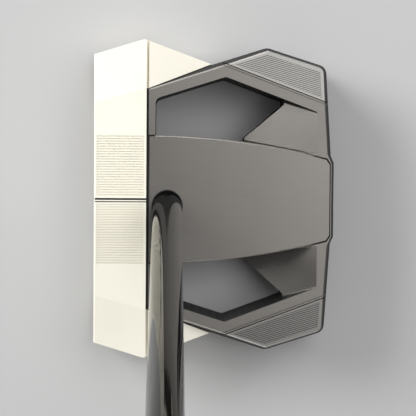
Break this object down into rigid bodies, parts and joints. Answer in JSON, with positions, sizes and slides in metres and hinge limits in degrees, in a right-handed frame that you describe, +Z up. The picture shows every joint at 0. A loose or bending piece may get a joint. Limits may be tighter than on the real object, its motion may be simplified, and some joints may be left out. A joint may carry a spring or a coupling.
{
  "type": "mallet putter",
  "caption": "Right-handed centre-shafted mallet putter: white front body with a face insert, dark open rear frame with two windows, stepped steel shaft, flat-fronted rubber grip.",
  "frame": {"origin": "on the flat of the sole, where the head's centre plane meets the vertical plane through the shaft", "axes": "-X out of the striking face towards the target, +Y from heel to toe, +Z up; the shaft leans towards -Y at 70 degrees to the ground"},
  "size_m": [0.0794, 0.3542, 0.8156],
  "materials": {
    "front_body": "satin, fine machining",
    "face_insert": "matte moulded urethane",
    "steel": "brushed",
    "gasket": "matte",
    "enamel": "semi-gloss enamel",
    "weight": "brushed",
    "screw_steel": "black oxide",
    "frame_metal": "dark anodised satin",
    "plate_metal": "dark anodised satin",
    "cap_metal": "dark anodised, fine hatch",
    "sole_metal": "dark anodised satin",
    "ring": "gloss",
    "shaft_steel": "black polished plating",
    "tape": "matte paper tape",
    "grip_rubber": "soft matte"
  },
  "bodies": {
    "club": {"front_body": "front_body", "face_insert": "face_insert", "insert_plate": "steel", "insert_pad": "gasket", "sight_line": "enamel", "damping_gasket": "gasket", "weight_washers": "gasket", "body_screws": "screw_steel", "rear_frame": "frame_metal", "crown_plate": "plate_metal", "toe_wing_cap": "cap_metal", "heel_wing_cap": "cap_metal", "wing_cap_screws": "screw_steel", "sole_plate": "sole_metal", "sole_plate_screws": "screw_steel", "shaft_ring": "ring", "shaft": "shaft_steel", "tip_plug": "gasket", "grip_tape": "tape", "grip": "grip_rubber", "grip_cap": "grip_rubber"},
    "toe_weight_body": {"toe_weight": "weight"},
    "heel_weight_body": {"heel_weight": "weight"}
  },
  "joints": [
    {"name": "toe_weight_slide", "type": "slide", "parent": "club", "child": "toe_weight_body", "axis": [0, 0.165, -0.9863], "range_m": [0, 0.009]},
    {"name": "heel_weight_slide", "type": "slide", "parent": "club", "child": "heel_weight_body", "axis": [0, -0.165, -0.9863], "range_m": [0, 0.009]}
  ]
}
